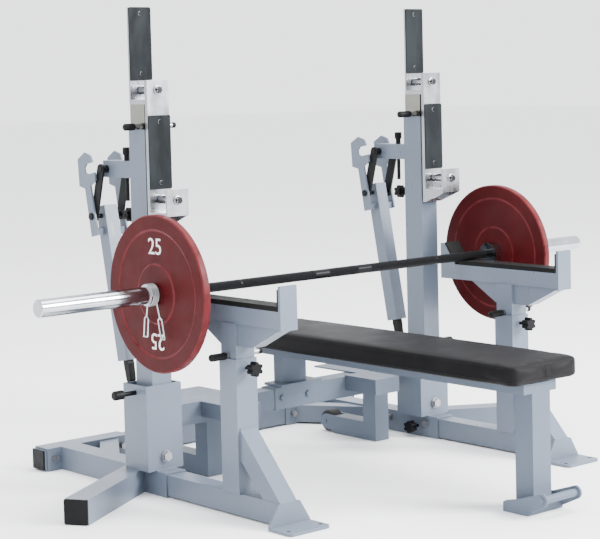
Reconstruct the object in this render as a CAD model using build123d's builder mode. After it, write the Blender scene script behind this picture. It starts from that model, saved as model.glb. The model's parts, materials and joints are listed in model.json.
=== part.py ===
"""Competition bench press: tilting, telescoping uprights, sliding safeties, rolling bench and loaded bar.

Frame: +X along the bar, +Y from the foot end of the bench towards its head end, +Z up.
The origin is the middle of the footprint, on the floor. Lengths are in millimetres.
"""
from build123d import *
import os
from math import cos, hypot, radians, sin

os.makedirs("parts", exist_ok=True)

# ---------------------------------------------------------------- driving dimensions
GAP = 0.3                      # clearance between faces that move past each other
TUBE_WALL = 4.0

# barbell: the international pattern
BAR_LENGTH = 2200.0
COLLAR_SPAN = 1310.0           # between the inner faces of the two collars
COLLAR_WIDTH = 30.0
COLLAR_R = 36.0
SLEEVE_R = 25.0
SHAFT_R = 14.0
PLATE_R = 225.0
PLATE_THICK = 24.0
BAR_Y = 51.0
BAR_Z = 623.0
CLIP_WIRE = 2.6

# rack, across
RACK_X = 565.0                 # centre plane of each side frame
BASE = 72.0                    # outer base tube, square
LEG = 62.0                     # front leg tube, slides inside the base tube
BEAM = 62.0                    # rear beam, slides inside the two sleeves

# rack, along
REAR_Y = 769.0
SOCKET_Y = 176.0               # front end of the base tube
BASE_END_Y = REAR_Y - BASE / 2
OUTRIGGER_ANGLE = 31.5
OUTRIGGER_ROOT_Y = 349.0
OUTRIGGER_REACH = 466.0
SLEEVE_IN_X = 336.0
SLEEVE_OUT_X = 652.0
BEAM_END_X = 660.0

# housing and upright
HOUSING_X = (RACK_X - 64, RACK_X + 64)
HOUSING_Y = (223.0, 339.0)
HOUSING_TOP = 327.0
HOUSING_WALL = 6.0
PIVOT_Z = 113.0
PIVOT_R = 9.0
UPRIGHT_X = 70.0               # size across
UPRIGHT_Y = 80.0               # size along
UPRIGHT_MID_Y = 270.0
UPRIGHT_TOP = 1082.0
UPRIGHT_FOOT = 90.0

# telescoping rack post and its two hooks
POST_X = UPRIGHT_X - 2 * TUBE_WALL - 1.0
POST_Y = UPRIGHT_Y - 2 * TUBE_WALL - 1.0
POST_FOOT = 500.0
HOOK_HALF = 39.0
HOOK_PLATE = 6.0
WEAR = 5.0
UPPER_WEAR_Y = 284.5           # face that the bar meets in the upper hook
FRONT_WEAR_Y = 202.5           # the same in the lower hook
LOWER_LIP_Y = 126.0
UPPER_Z = (1156.0, 1441.0)
UPPER_LIP_TOP = 1226.0
LOWER_Z = (797.0, 908.0)
FLOOR_THICK = 14.0
UPPER_ROLLER_Z = 1197.0
LOWER_ROLLER_Z = 877.0
ROLLER_R = 13.0
AXLE_R = 5.0
PIN_R = 8.0
RACK_PIN_Z = UPRIGHT_TOP + PIN_R + GAP

# jack
ARM = 50.0
ARM_Z = 962.0
ARM_END_Y = 443.5              # upper link pivot
LINK_Y = 40.0
LINK_Z = -144.0
LINK_X = 47.0
FORK_X = 55.0
LEVER_TILT = 11.0
LEVER = 46.0
LEVER_TOP = 30.0
LEVER_LENGTH = 475.0
STOW_Y = 374.0

# front leg and safety
POST = 75.0
SAFETY_POST_Y = -133.0
SAFETY_POST_TOP = 446.0
INNER = POST - 2 * TUBE_WALL - 1.0
LEG_FRONT_Y = -334.0
LEG_BACK_Y = 359.0
FOOT_HOLE_X = 57.0
FOOT_HOLE_Y = -401.0
FOOT_HOLE_R = 7.0
SAFETY_BEAM = 60.0
SAFETY_Y = (-350.0, 151.0)
SAFETY_Z = 546.0
RAMP_Y = (85.0, 133.0)
SAFETY_PAD_TOP = BAR_Z - SHAFT_R - GAP
SAFETY_PIN_Z = SAFETY_POST_TOP + PIN_R + GAP

# bench
BENCH_X = 35.0
PAD_WIDTH = 292.0
PAD_X = 40.0
PAD_Y = (-748.0, 481.0)
PAD_Z = (365.0, 430.0)
RAIL_X = 53.0
RAIL = (28.0, 30.0)
FRONT_LEG_Y = (-721.0, -655.0)
HEAD_LEG_Y = (329.0, 372.0)
CROSS_Y = (298.0, 360.0)
CROSS_Z = (173.0, 235.0)
CROSS_END_X = 468.0
CROSS_JOINT_X = -76.0
WHEEL_LEG_X = 355.0
WHEEL_LEG = 60.0
WHEEL_Y = 550.0
WHEEL_R = 36.0
TREAD_X = ((-372.0, -255.0), (225.0, 330.0))
SHELF_X = ((-466.0, -212.0), (282.0, 466.0))
STEP_Y = (150.0, 515.0)
STEP_Z = CROSS_Z[1]
FOOT_HALF = 73.0
FOOT_Y = (-734.0, -642.0)
LIFT_ROD_Y = -786.0
LIFT_ROD_Z = 52.0
LIFT_ROD_R = 19.0

# fixings
CLAMP_X = (367.0, 627.0)       # clamp screws on the front of each rear sleeve
LEG_SCREW_Y = (227.0, 403.0)
CLAMP_R = 6.0
LEG_KNOB_Y = 271.0
LEG_KNOB_Z = 34.0
TILT_PIN_Z = 304.0
TILT_PIN_R = 7.0
KNOB_Z = 825.0
LINK_BOLT_R = 7.0
STOW_R = 6.0
SAFETY_KNOB_Z = 420.0
INNER_COLLAR_X = COLLAR_SPAN / 2

SIDES = (("left", -1), ("right", 1))


# ---------------------------------------------------------------- helpers
def block(x, y, z, mode=Mode.ADD):
    """A box between three pairs of limits, added to or cut from the part being built."""
    with Locations(((x[0] + x[1]) / 2, (y[0] + y[1]) / 2, (z[0] + z[1]) / 2)):
        Box(abs(x[1] - x[0]), abs(y[1] - y[0]), abs(z[1] - z[0]), mode=mode)


def around(middle, size):
    """The two limits of a span from its middle and its size."""
    return (middle - size / 2, middle + size / 2)


def rod(start, end, radius, mode=Mode.ADD):
    """A round bar, or with Mode.SUBTRACT a round hole, from one point to another."""
    run = Vector(*end) - Vector(*start)
    with BuildSketch(Plane(origin=start, z_dir=run)) as section:
        Circle(radius)
    extrude(section.sketch, amount=run.length, mode=mode)


def slab(outline, plane, thickness, both=False, mode=Mode.ADD):
    """A flat plate with a straight-sided outline."""
    with BuildSketch(plane) as section:
        with BuildLine():
            Polyline(*outline, close=True)
        make_face()
    extrude(section.sketch, amount=thickness, both=both, mode=mode)


def side_plane(x):
    """The upright plane at x whose sketch axes are Y and Z and whose normal is +X."""
    return Plane(origin=(x, 0, 0), x_dir=(0, 1, 0), z_dir=(1, 0, 0))


def hexagon(origin, direction, across, height):
    """A hexagonal bolt head or nut that stands on a face."""
    with BuildSketch(Plane(origin=origin, z_dir=direction)) as section:
        RegularPolygon(across / 2, 6, major_radius=False)
    extrude(section.sketch, amount=height)


def finish(part, label):
    """Name a piece and write it."""
    part.label = label
    export_step(part, f"parts/{label}.step")


def star_knob(origin, direction, stem, stem_r=5.0, knob_r=21.0, depth=24.0):
    """A six-lobed clamping knob on its screw: the screw starts at origin."""
    way = Vector(*direction).normalized()
    base = Vector(*origin) + way * stem
    rod(origin, tuple(base), stem_r)
    with BuildSketch(Plane(origin=base, z_dir=way)) as section:
        Circle(knob_r - 6)
        with PolarLocations(knob_r - 6, 6):
            Circle(6)
    extrude(section.sketch, amount=depth)
    rod(tuple(base - way * 8), tuple(base), stem_r + 5)


# ---------------------------------------------------------------- base
def make_rear_beam():
    """Inner tube that joins the two side frames and sets the width of the rack."""
    with BuildPart() as beam:
        block((-BEAM_END_X, BEAM_END_X), around(REAR_Y, BEAM), around(BASE / 2, BEAM))
        inner = BEAM - 2 * TUBE_WALL
        block((-BEAM_END_X - 1, BEAM_END_X + 1), around(REAR_Y, inner), around(BASE / 2, inner),
              Mode.SUBTRACT)
    finish(beam.part, "rear_beam")


def make_side_frames():
    """Two welded frames: a rear sleeve, a base tube that holds the front leg, and a corner brace."""
    with BuildPart() as frames:
        for _, s in SIDES:
            block((s * SLEEVE_IN_X, s * SLEEVE_OUT_X), around(REAR_Y, BASE), (0, BASE))
            block(around(s * RACK_X, BASE), (SOCKET_Y, BASE_END_Y), (0, BASE))
            inner_x = s * (RACK_X - BASE / 2)
            brace = [(inner_x, 515), (inner_x, 622), (s * 453, BASE_END_Y), (s * 381, BASE_END_Y)]
            slab(brace, Plane.XY.offset(6), 60)
        cavity = BASE - 2 * TUBE_WALL
        for _, s in SIDES:
            block((s * (SLEEVE_IN_X - 1), s * (SLEEVE_OUT_X + 1)), around(REAR_Y, cavity),
                  around(BASE / 2, cavity), Mode.SUBTRACT)
            block(around(s * RACK_X, cavity), (SOCKET_Y - 1, BASE_END_Y), around(BASE / 2, cavity),
                  Mode.SUBTRACT)
            for x in CLAMP_X:
                rod((s * x, BASE_END_Y - 1, 40), (s * x, BASE_END_Y + 6, 40), CLAMP_R + 0.2, Mode.SUBTRACT)
            wall = s * (RACK_X - BASE / 2)
            for y in LEG_SCREW_Y:
                rod((wall - s * 1, y, 47), (wall + s * 6, y, 47), CLAMP_R + 0.2, Mode.SUBTRACT)
            rod((wall - s * 1, LEG_KNOB_Y, LEG_KNOB_Z), (wall + s * 6, LEG_KNOB_Y, LEG_KNOB_Z),
                CLAMP_R, Mode.SUBTRACT)
    finish(frames.part, "side_frames")


def outrigger_plane(s):
    """Plane across an outrigger at its root, looking outwards along it."""
    angle = radians(OUTRIGGER_ANGLE)
    return Plane(origin=(s * RACK_X, OUTRIGGER_ROOT_Y, BASE / 2),
                 x_dir=(-sin(angle), -s * cos(angle), 0), z_dir=(s * cos(angle), -sin(angle), 0))


def make_outriggers():
    """Two splayed stabiliser tubes, cut to sit against the base tubes."""
    with BuildPart() as tubes:
        for _, s in SIDES:
            plane = outrigger_plane(s)
            with BuildSketch(plane) as section:
                Rectangle(BASE, BASE)
                Rectangle(BASE - 2 * TUBE_WALL, BASE - 2 * TUBE_WALL, mode=Mode.SUBTRACT)
            extrude(section.sketch, amount=OUTRIGGER_REACH)
            block((s * (RACK_X - 200), s * (RACK_X + BASE / 2)), (0, 700), (-1, BASE + 1), Mode.SUBTRACT)
    finish(tubes.part, "outriggers")


def make_base_caps():
    """Four black end caps: two on the outriggers and two on the rear beam."""
    with BuildPart() as caps:
        for _, s in SIDES:
            end = outrigger_plane(s).offset(OUTRIGGER_REACH)
            with BuildSketch(end) as face:
                RectangleRounded(BASE, BASE, 5)
            extrude(face.sketch, amount=6)
            with BuildSketch(end) as plug:
                Rectangle(BASE - 2 * TUBE_WALL - 0.6, BASE - 2 * TUBE_WALL - 0.6)
            extrude(plug.sketch, amount=-18)
            block((s * BEAM_END_X, s * (BEAM_END_X + 6)), around(REAR_Y, BEAM), around(BASE / 2, BEAM))
            plug_size = BEAM - 2 * TUBE_WALL - 0.6
            block((s * (BEAM_END_X - 18), s * BEAM_END_X), around(REAR_Y, plug_size),
                  around(BASE / 2, plug_size))
    finish(caps.part, "base_caps")


def make_housings():
    """Two wide boxes on the base tubes, in which the uprights tilt inwards."""
    with BuildPart() as housings:
        for _, s in SIDES:
            block((s * HOUSING_X[0], s * HOUSING_X[1]), HOUSING_Y, (BASE, HOUSING_TOP))
            block((s * (HOUSING_X[0] + HOUSING_WALL), s * (HOUSING_X[1] - HOUSING_WALL)),
                  (HOUSING_Y[0] + HOUSING_WALL, HOUSING_Y[1] - HOUSING_WALL),
                  (BASE + HOUSING_WALL, HOUSING_TOP + 1), Mode.SUBTRACT)
            rod((s * RACK_X, HOUSING_Y[0] - 1, PIVOT_Z), (s * RACK_X, HOUSING_Y[1] + 1, PIVOT_Z),
                PIVOT_R + 0.2, Mode.SUBTRACT)
            rod((s * (HOUSING_X[1] - 10), UPRIGHT_MID_Y + 9, TILT_PIN_Z),
                (s * (HOUSING_X[1] + 1), UPRIGHT_MID_Y + 9, TILT_PIN_Z), TILT_PIN_R + 0.2, Mode.SUBTRACT)
            rod((s * (HOUSING_X[0] - 1), UPRIGHT_MID_Y, TILT_PIN_Z - 8),
                (s * (HOUSING_X[0] + 10), UPRIGHT_MID_Y, TILT_PIN_Z - 8), 6.2, Mode.SUBTRACT)
    finish(housings.part, "housings")


def make_base_bolts():
    """Upright pivot bolts, rear sleeve clamps, leg screws and the tilt stop screws."""
    with BuildPart() as bolts:
        for _, s in SIDES:
            front = HOUSING_Y[0]
            back = HOUSING_Y[1]
            x = s * RACK_X
            rod((x, front - 4, PIVOT_Z), (x, back + 4, PIVOT_Z), PIVOT_R)
            rod((x, front - 4, PIVOT_Z), (x, front, PIVOT_Z), 17)
            rod((x, back, PIVOT_Z), (x, back + 4, PIVOT_Z), 17)
            hexagon((x, front - 4, PIVOT_Z), (0, -1, 0), 26, 11)
            hexagon((x, back + 4, PIVOT_Z), (0, 1, 0), 26, 13)
            for clamp in CLAMP_X:
                start = BASE_END_Y + TUBE_WALL + 0.8
                rod((s * clamp, BASE_END_Y - 6, 40), (s * clamp, start, 40), CLAMP_R)
                hexagon((s * clamp, BASE_END_Y - 6, 40), (0, -1, 0), 19, 8)
                rod((s * clamp, BASE_END_Y - 6, 40), (s * clamp, BASE_END_Y, 40), 11)
            wall = s * (RACK_X - BASE / 2)
            for y in LEG_SCREW_Y:
                rod((wall - s * 6, y, 47), (wall + s * (TUBE_WALL + 0.6), y, 47), CLAMP_R)
                hexagon((wall - s * 6, y, 47), (-s, 0, 0), 19, 8)
                rod((wall - s * 6, y, 47), (wall, y, 47), 11)
            stop = s * HOUSING_X[0]
            z = TILT_PIN_Z - 8
            rod((stop - s * 16, UPRIGHT_MID_Y, z), (stop + s * 8, UPRIGHT_MID_Y, z), 6)
            rod((stop - s * 16, UPRIGHT_MID_Y, z), (stop - s * 2, UPRIGHT_MID_Y, z), 14)
    finish(bolts.part, "base_bolts")


# ---------------------------------------------------------------- uprights


def make_upright(name, s):
    """Outer tube of one upright with the jack arm welded to its back."""
    x = s * RACK_X
    with BuildPart() as upright:
        block(around(x, UPRIGHT_X), around(UPRIGHT_MID_Y, UPRIGHT_Y), (UPRIGHT_FOOT, UPRIGHT_TOP))
        back = UPRIGHT_MID_Y + UPRIGHT_Y / 2
        block(around(x, ARM), (back, ARM_END_Y + 20), around(ARM_Z, ARM))
        block(around(x, UPRIGHT_X - 2 * TUBE_WALL), around(UPRIGHT_MID_Y, UPRIGHT_Y - 2 * TUBE_WALL),
              (UPRIGHT_FOOT - 1, UPRIGHT_TOP + 1), Mode.SUBTRACT)
        block(around(x, ARM - 2 * TUBE_WALL), (back, ARM_END_Y + 21), around(ARM_Z, ARM - 2 * TUBE_WALL),
              Mode.SUBTRACT)
        front = UPRIGHT_MID_Y - UPRIGHT_Y / 2
        rod((x, front - 1, PIVOT_Z), (x, back + 1, PIVOT_Z), PIVOT_R + 0.05, Mode.SUBTRACT)
        rod((x - ARM, ARM_END_Y, ARM_Z), (x + ARM, ARM_END_Y, ARM_Z), LINK_BOLT_R + 0.05, Mode.SUBTRACT)
        rod((x, STOW_Y, ARM_Z - ARM), (x, STOW_Y, ARM_Z + ARM), STOW_R + 0.3, Mode.SUBTRACT)
        rod((x, back - 6, KNOB_Z), (x, back + 1, KNOB_Z), 5.3, Mode.SUBTRACT)
        foot = [(x + s * UPRIGHT_X / 2 + s, UPRIGHT_FOOT - 1),
                (x + s * UPRIGHT_X / 2 + s, UPRIGHT_FOOT + 16),
                (x + s * UPRIGHT_X / 2 - s * 9, UPRIGHT_FOOT - 1)]
        slab(foot, Plane(origin=(0, front - 1, 0), x_dir=(1, 0, 0), z_dir=(0, -1, 0)), -(UPRIGHT_Y + 2),
             mode=Mode.SUBTRACT)
    finish(upright.part, f"upright_{name}")


def make_rack_knob(name, s):
    """Star knob that clamps the rack post from behind."""
    back = UPRIGHT_MID_Y + UPRIGHT_Y / 2
    with BuildPart() as knob:
        star_knob((s * RACK_X, back - TUBE_WALL, KNOB_Z), (0, 1, 0), 50)
    finish(knob.part, f"rack_knob_{name}")


def make_stow_pin(name, s):
    """Drop-in pin through the jack arm."""
    top = ARM_Z + ARM / 2
    with BuildPart() as pin:
        rod((s * RACK_X, STOW_Y, 866), (s * RACK_X, STOW_Y, top + GAP), STOW_R)
        rod((s * RACK_X, STOW_Y, top + GAP), (s * RACK_X, STOW_Y, top + 18), 8.5)
        rod((s * RACK_X, STOW_Y, top + 18), (s * RACK_X, STOW_Y, top + 40), 12)
        fillet(pin.edges().sort_by(Axis.Z)[-1], 3)
    finish(pin.part, f"stow_pin_{name}")


def make_tilt_pin(name, s):
    """Sprung pull pin on the outer face of the housing."""
    y = UPRIGHT_MID_Y + 9
    wall = HOUSING_X[1]
    with BuildPart() as pin:
        rod((s * (RACK_X + UPRIGHT_X / 2 + 2), y, TILT_PIN_Z), (s * (wall + 48), y, TILT_PIN_Z),
            TILT_PIN_R)
        rod((s * (wall + 46), y, TILT_PIN_Z), (s * (wall + 78), y, TILT_PIN_Z), 14)
        fillet(pin.edges().sort_by(Axis.X)[-1 if s > 0 else 0], 5)
    finish(pin.part, f"tilt_pin_{name}")


# ---------------------------------------------------------------- rack posts
def make_rack_post(name, s):
    """Plated inner tube that carries the hooks and slides in the upright."""
    x = s * RACK_X
    with BuildPart() as post:
        block(around(x, POST_X), around(UPRIGHT_MID_Y, POST_Y), (POST_FOOT, UPPER_Z[0]))
        block(around(x, POST_X - 8), around(UPRIGHT_MID_Y, POST_Y - 8), (POST_FOOT - 1, UPPER_Z[0] + 1),
              Mode.SUBTRACT)
        rod((x - POST_X, UPRIGHT_MID_Y, RACK_PIN_Z), (x + POST_X, UPRIGHT_MID_Y, RACK_PIN_Z),
            PIN_R + 0.1, Mode.SUBTRACT)
        for step in range(8):
            z = RACK_PIN_Z - 60 - 50 * step
            rod((x - POST_X, UPRIGHT_MID_Y, z), (x + POST_X, UPRIGHT_MID_Y, z), PIN_R + 1, Mode.SUBTRACT)
    finish(post.part, f"rack_post_{name}")


def make_hook(name, s):
    """Two hooks in one weldment: back plates, floors, lips and the gusset under the lower hook."""
    x = s * RACK_X
    across = around(x, 2 * HOOK_HALF)
    upper_back = UPPER_WEAR_Y + WEAR
    front_back = FRONT_WEAR_Y + WEAR
    with BuildPart() as hook:
        block(across, (upper_back, upper_back + HOOK_PLATE), UPPER_Z)
        block(across, (front_back, upper_back), (UPPER_Z[0], UPPER_Z[0] + FLOOR_THICK))
        block(across, (front_back, front_back + 12), (LOWER_Z[0], UPPER_LIP_TOP))
        floor = LOWER_Z[0] + 34
        block(across, (LOWER_LIP_Y, front_back), (floor, floor + 10))
        block(across, (LOWER_LIP_Y, LOWER_LIP_Y + HOOK_PLATE), (floor, LOWER_Z[1]))
        for edge in (-1, 1):
            cheek = [(LOWER_LIP_Y, floor), (front_back, floor), (front_back, LOWER_Z[0])]
            slab(cheek, side_plane(x + edge * (HOOK_HALF - 3)), 3, both=True)
        for y, z, length in ((front_back, UPPER_ROLLER_Z, upper_back - front_back),
                             (LOWER_LIP_Y, LOWER_ROLLER_Z, front_back - LOWER_LIP_Y)):
            rod((x, y - 2, z), (x, y + length, z), AXLE_R)
            rod((x, y - 2, z), (x, y, z), 14)
            hexagon((x, y - 2, z), (0, -1, 0), 19, 9)
    finish(hook.part, f"hook_{name}")


def make_wear_plates(name, s):
    """Replaceable dark plates on both hook faces, each with two fixings."""
    x = s * RACK_X
    with BuildPart() as plates:
        for y, low, high in ((UPPER_WEAR_Y, UPPER_LIP_TOP, UPPER_Z[1]), (FRONT_WEAR_Y, 907.0, 1123.0)):
            block(around(x, 2 * HOOK_HALF), (y, y + WEAR), (low, high))
        fillet(plates.edges().filter_by(Axis.Y), 5)
        for y, low, high in ((UPPER_WEAR_Y, UPPER_LIP_TOP, UPPER_Z[1]), (FRONT_WEAR_Y, 907.0, 1123.0)):
            for z in (low + 19, high - 19):
                rod((x, y - 1.5, z), (x, y, z), 6)
    finish(plates.part, f"wear_plates_{name}")


def make_rollers(name, s):
    """Two free rollers across the hook floors, which let the bar be centred."""
    x = s * RACK_X
    spans = {"upper": (FRONT_WEAR_Y + WEAR + 12, UPPER_WEAR_Y + WEAR, UPPER_ROLLER_Z),
             "lower": (LOWER_LIP_Y + HOOK_PLATE, FRONT_WEAR_Y + WEAR, LOWER_ROLLER_Z)}
    for level, (start, end, z) in spans.items():
        with BuildPart() as roller:
            rod((x, start + 1.5, z), (x, end - 1.5, z), ROLLER_R)
            chamfer(roller.edges(), 1.5)
            rod((x, start, z), (x, end, z), AXLE_R + 0.05, Mode.SUBTRACT)
        finish(roller.part, f"roller_{level}_{name}")


def cross_pin(x, y, z, head, tail):
    """A cross pin along X with a moulded handle at its -X end and a rounded point."""
    rod((x - head, y, z), (x + tail, y, z), PIN_R)
    rod((x - head, y, z), (x - 44, y, z), PIN_R + 1.5)


def make_rack_pin(name, s):
    """Cross pin with a handle, on which the rack post hangs."""
    with BuildPart() as pin:
        cross_pin(s * RACK_X, UPRIGHT_MID_Y, RACK_PIN_Z, 87 + 8 * s, 98 - 8 * s)
        fillet(pin.edges().filter_by(GeomType.CIRCLE).sort_by(Axis.X)[0], 3)
        chamfer(pin.edges().filter_by(GeomType.CIRCLE).sort_by(Axis.X)[-1], 3)
    finish(pin.part, f"rack_pin_{name}")


# ---------------------------------------------------------------- jack
def make_jack_links(name, s):
    """Pair of links with their two pivot bolts and spacers."""
    x = s * RACK_X
    top = (ARM_END_Y, ARM_Z)
    low = (ARM_END_Y + LINK_Y, ARM_Z + LINK_Z)
    span = hypot(LINK_Y, LINK_Z)
    with BuildPart() as links:
        for edge in (-1, 1):
            middle = Vector(x + edge * LINK_X, (top[0] + low[0]) / 2, (top[1] + low[1]) / 2)
            along = Vector(0, LINK_Y, LINK_Z)
            with BuildSketch(Plane(origin=middle, x_dir=along, z_dir=(1, 0, 0))) as section:
                SlotCenterToCenter(span, 32)
            extrude(section.sketch, amount=3, both=True)
            inner = x + edge * (ARM / 2 + GAP)
            rod((inner, *top), (x + edge * (LINK_X - 3), *top), 12)
            hexagon((x + edge * (LINK_X + 3), *top), (edge, 0, 0), 19, 1.6)
            hexagon((x + edge * (FORK_X + 3.3), *low), (edge, 0, 0), 19, 6)
        rod((x - LINK_X, *top), (x + LINK_X, *top), LINK_BOLT_R)
        rod((x - FORK_X - 4, *low), (x + FORK_X + 4, *low), LINK_BOLT_R)
    finish(links.part, f"jack_links_{name}")


def lever_plane(s, offset):
    """Side plane of the lever: its sketch X axis points up along the lever from the pivot."""
    tilt = radians(LEVER_TILT)
    origin = (s * RACK_X + offset, ARM_END_Y + LINK_Y, ARM_Z + LINK_Z)
    return Plane(origin=origin, x_dir=(0, sin(tilt), cos(tilt)), z_dir=(1, 0, 0))


def make_jack_lever(name, s):
    """Lifting lever: a square tube with two notched fork plates at its upper end."""
    with BuildPart() as lever:
        with BuildSketch(lever_plane(s, 0)) as tube:
            with Locations((LEVER_TOP - LEVER_LENGTH / 2, 0)):
                Rectangle(LEVER_LENGTH, LEVER)
        extrude(tube.sketch, amount=LEVER / 2, both=True)
        with BuildSketch(lever_plane(s, 0)) as bore:
            with Locations((LEVER_TOP - LEVER_LENGTH / 2, 0)):
                Rectangle(LEVER_LENGTH + 2, LEVER - 6)
        extrude(bore.sketch, amount=LEVER / 2 - 3, both=True, mode=Mode.SUBTRACT)
        for edge in (-1, 1):
            fork = [(-60, -17), (-60, 17), (92, 14), (104, 44), (140, 47), (182, 34), (196, 6),
                    (182, -34), (100, -44),
                    (88, -16)]
            slab(fork, lever_plane(s, edge * FORK_X), 3, both=True)
            block(around(s * RACK_X + edge * 37.5, 31), (ARM_END_Y + LINK_Y - 18, ARM_END_Y + LINK_Y + 2),
                  (ARM_Z + LINK_Z - 56, ARM_Z + LINK_Z - 36))
            notch = [(160, -60), (160, -8), (150, 4), (136, 4), (128, -8), (128, -60)]
            slab([(a, -b) for a, b in notch], lever_plane(s, edge * FORK_X), 6, both=True,
                 mode=Mode.SUBTRACT)
        low = (ARM_END_Y + LINK_Y, ARM_Z + LINK_Z)
        rod((s * RACK_X - 70, *low), (s * RACK_X + 70, *low), LINK_BOLT_R + 0.05, Mode.SUBTRACT)
    finish(lever.part, f"jack_lever_{name}")


def make_jack_grip(name, s):
    """Hand grip pushed onto the lower end of the lever."""
    start = LEVER_TOP - LEVER_LENGTH
    with BuildPart() as grip:
        with BuildSketch(lever_plane(s, 0)) as outline:
            with BuildLine():
                Polyline((start, -12), (start - 10, -13), (start - 60, -10), (start - 66, -6),
                         (start - 66, 6),
                         (start - 60, 10), (start - 10, 13), (start, 12), close=True)
            make_face()
        extrude(outline.sketch, amount=11, both=True)
    finish(grip.part, f"jack_grip_{name}")


# ---------------------------------------------------------------- front legs and safeties
def make_front_leg(name, s):
    """Leg tube that slides in the base tube, with its bent foot plate."""
    x = s * RACK_X
    low = (BASE - LEG) / 2
    with BuildPart() as leg:
        block(around(x, LEG), (LEG_FRONT_Y, LEG_BACK_Y), (low, low + LEG))
        inner = LEG - 2 * TUBE_WALL
        block(around(x, inner), (LEG_FRONT_Y - 1, LEG_BACK_Y + 1), around(BASE / 2, inner), Mode.SUBTRACT)
        face = Plane(origin=(x, LEG_FRONT_Y, 0), x_dir=(1, 0, 0), z_dir=(0, -1, 0))
        slab([(-72, 0), (72, 0), (72, 12), (38, low + LEG), (-38, low + LEG), (-72, 12)], face, 8)
        block(around(x, 144), (LEG_FRONT_Y - 95, LEG_FRONT_Y - 8), (0, 8))
        with BuildSketch(Plane.XY.offset(-1)) as holes:
            with Locations((x - FOOT_HOLE_X, FOOT_HOLE_Y), (x + FOOT_HOLE_X, FOOT_HOLE_Y)):
                Circle(FOOT_HOLE_R)
        extrude(holes.sketch, amount=20, mode=Mode.SUBTRACT)
        fillet(leg.edges().filter_by(Axis.Z).group_by(Axis.Y)[0], 12)
    finish(leg.part, f"front_leg_{name}")


def make_safety_post(name, s):
    """Outer tube of the safety with its diagonal brace."""
    x = s * RACK_X
    floor = (BASE + LEG) / 2
    front = SAFETY_POST_Y - POST / 2
    with BuildPart() as post:
        block(around(x, POST), around(SAFETY_POST_Y, POST), (floor, SAFETY_POST_TOP))
        brace = [(front, 250), (front, 162), (front - 95, floor), (LEG_FRONT_Y - 4, floor)]
        slab(brace, side_plane(x), 30, both=True)
        block(around(x, INNER + 1), around(SAFETY_POST_Y, INNER + 1), (floor - 1, SAFETY_POST_TOP + 1),
              Mode.SUBTRACT)
        rod((x, front - 1, SAFETY_KNOB_Z), (x, front + 6, SAFETY_KNOB_Z), 5.3, Mode.SUBTRACT)
    finish(post.part, f"safety_post_{name}")


def make_leg_knob(name, s):
    """Star knob that clamps the front leg in the base tube."""
    wall = s * (RACK_X - BASE / 2 + TUBE_WALL)
    with BuildPart() as knob:
        star_knob((wall, LEG_KNOB_Y, LEG_KNOB_Z), (-s, 0, 0), 26)
    finish(knob.part, f"leg_knob_{name}")


def make_safety_knob(name, s):
    """Star knob that clamps the safety in its post."""
    front = SAFETY_POST_Y - POST / 2 + TUBE_WALL
    with BuildPart() as knob:
        star_knob((s * RACK_X, front, SAFETY_KNOB_Z), (0, -1, 0), 28)
    finish(knob.part, f"safety_knob_{name}")


def make_safety_pin(name, s):
    """Cross pin that carries the safety on top of its post."""
    with BuildPart() as pin:
        cross_pin(s * RACK_X, SAFETY_POST_Y, SAFETY_PIN_Z, 98, 86)
        fillet(pin.edges().filter_by(GeomType.CIRCLE).sort_by(Axis.X)[0], 3)
        chamfer(pin.edges().filter_by(GeomType.CIRCLE).sort_by(Axis.X)[-1], 3)
    finish(pin.part, f"safety_pin_{name}")


def make_safety(name, s):
    """Telescoping safety: inner post, catching beam, gussets, front stop and rear ramp."""
    x = s * RACK_X
    across = around(x, SAFETY_BEAM)
    low = SAFETY_Z
    top = SAFETY_PAD_TOP - 14
    front = SAFETY_POST_Y - INNER / 2
    back = SAFETY_POST_Y + INNER / 2
    with BuildPart() as safety:
        block(around(x, INNER), around(SAFETY_POST_Y, INNER), (150, low))
        block(across, SAFETY_Y, (low, top))
        block(across, (SAFETY_Y[0] - 9, SAFETY_Y[0]), (low - 5, 664))
        slab([(front, low), (front, 483), (front - 60, 483), (SAFETY_Y[0] - 4, low)], side_plane(x), 24,
             both=True)
        slab([(back, low), (back, 483), (back + 12, 483), (back + 118, low)], side_plane(x), 24, both=True)
        slab([(RAMP_Y[0], top), (RAMP_Y[1], 662), (SAFETY_Y[1], 662), (SAFETY_Y[1], top)],
             side_plane(x), SAFETY_BEAM / 2, both=True)
        block(around(x, INNER - 8), around(SAFETY_POST_Y, INNER - 8), (149, low - 8), Mode.SUBTRACT)
        rod((x - POST, SAFETY_POST_Y, SAFETY_PIN_Z), (x + POST, SAFETY_POST_Y, SAFETY_PIN_Z),
            PIN_R + 0.1, Mode.SUBTRACT)
        for step in range(4):
            z = SAFETY_PIN_Z - 50 * (step + 1)
            rod((x - POST, SAFETY_POST_Y, z), (x + POST, SAFETY_POST_Y, z), PIN_R + 1, Mode.SUBTRACT)
    finish(safety.part, f"safety_{name}")


def make_safety_pads(name, s):
    """Rubber faces of a safety: the top strip, the stop liner and the ramp pad."""
    x = s * RACK_X
    top = SAFETY_PAD_TOP - 14
    across = around(x, SAFETY_BEAM)
    with BuildPart() as pads:
        block(across, (SAFETY_Y[0] + 6, RAMP_Y[0] - 14), (top, SAFETY_PAD_TOP))
        block(across, (SAFETY_Y[0], SAFETY_Y[0] + 6), (top, 655))
        rise = Vector(RAMP_Y[1] - RAMP_Y[0], 662 - top, 0)
        normal = Vector(-rise.Y, rise.X, 0).normalized() * 8
        ramp = [(RAMP_Y[0], top), (RAMP_Y[1], 662), (RAMP_Y[1] + normal.X, 662 + normal.Y),
                (RAMP_Y[0] + normal.X, top + normal.Y)]
        slab(ramp, side_plane(x), SAFETY_BEAM / 2, both=True)
    finish(pads.part, f"safety_pads_{name}")


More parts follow.
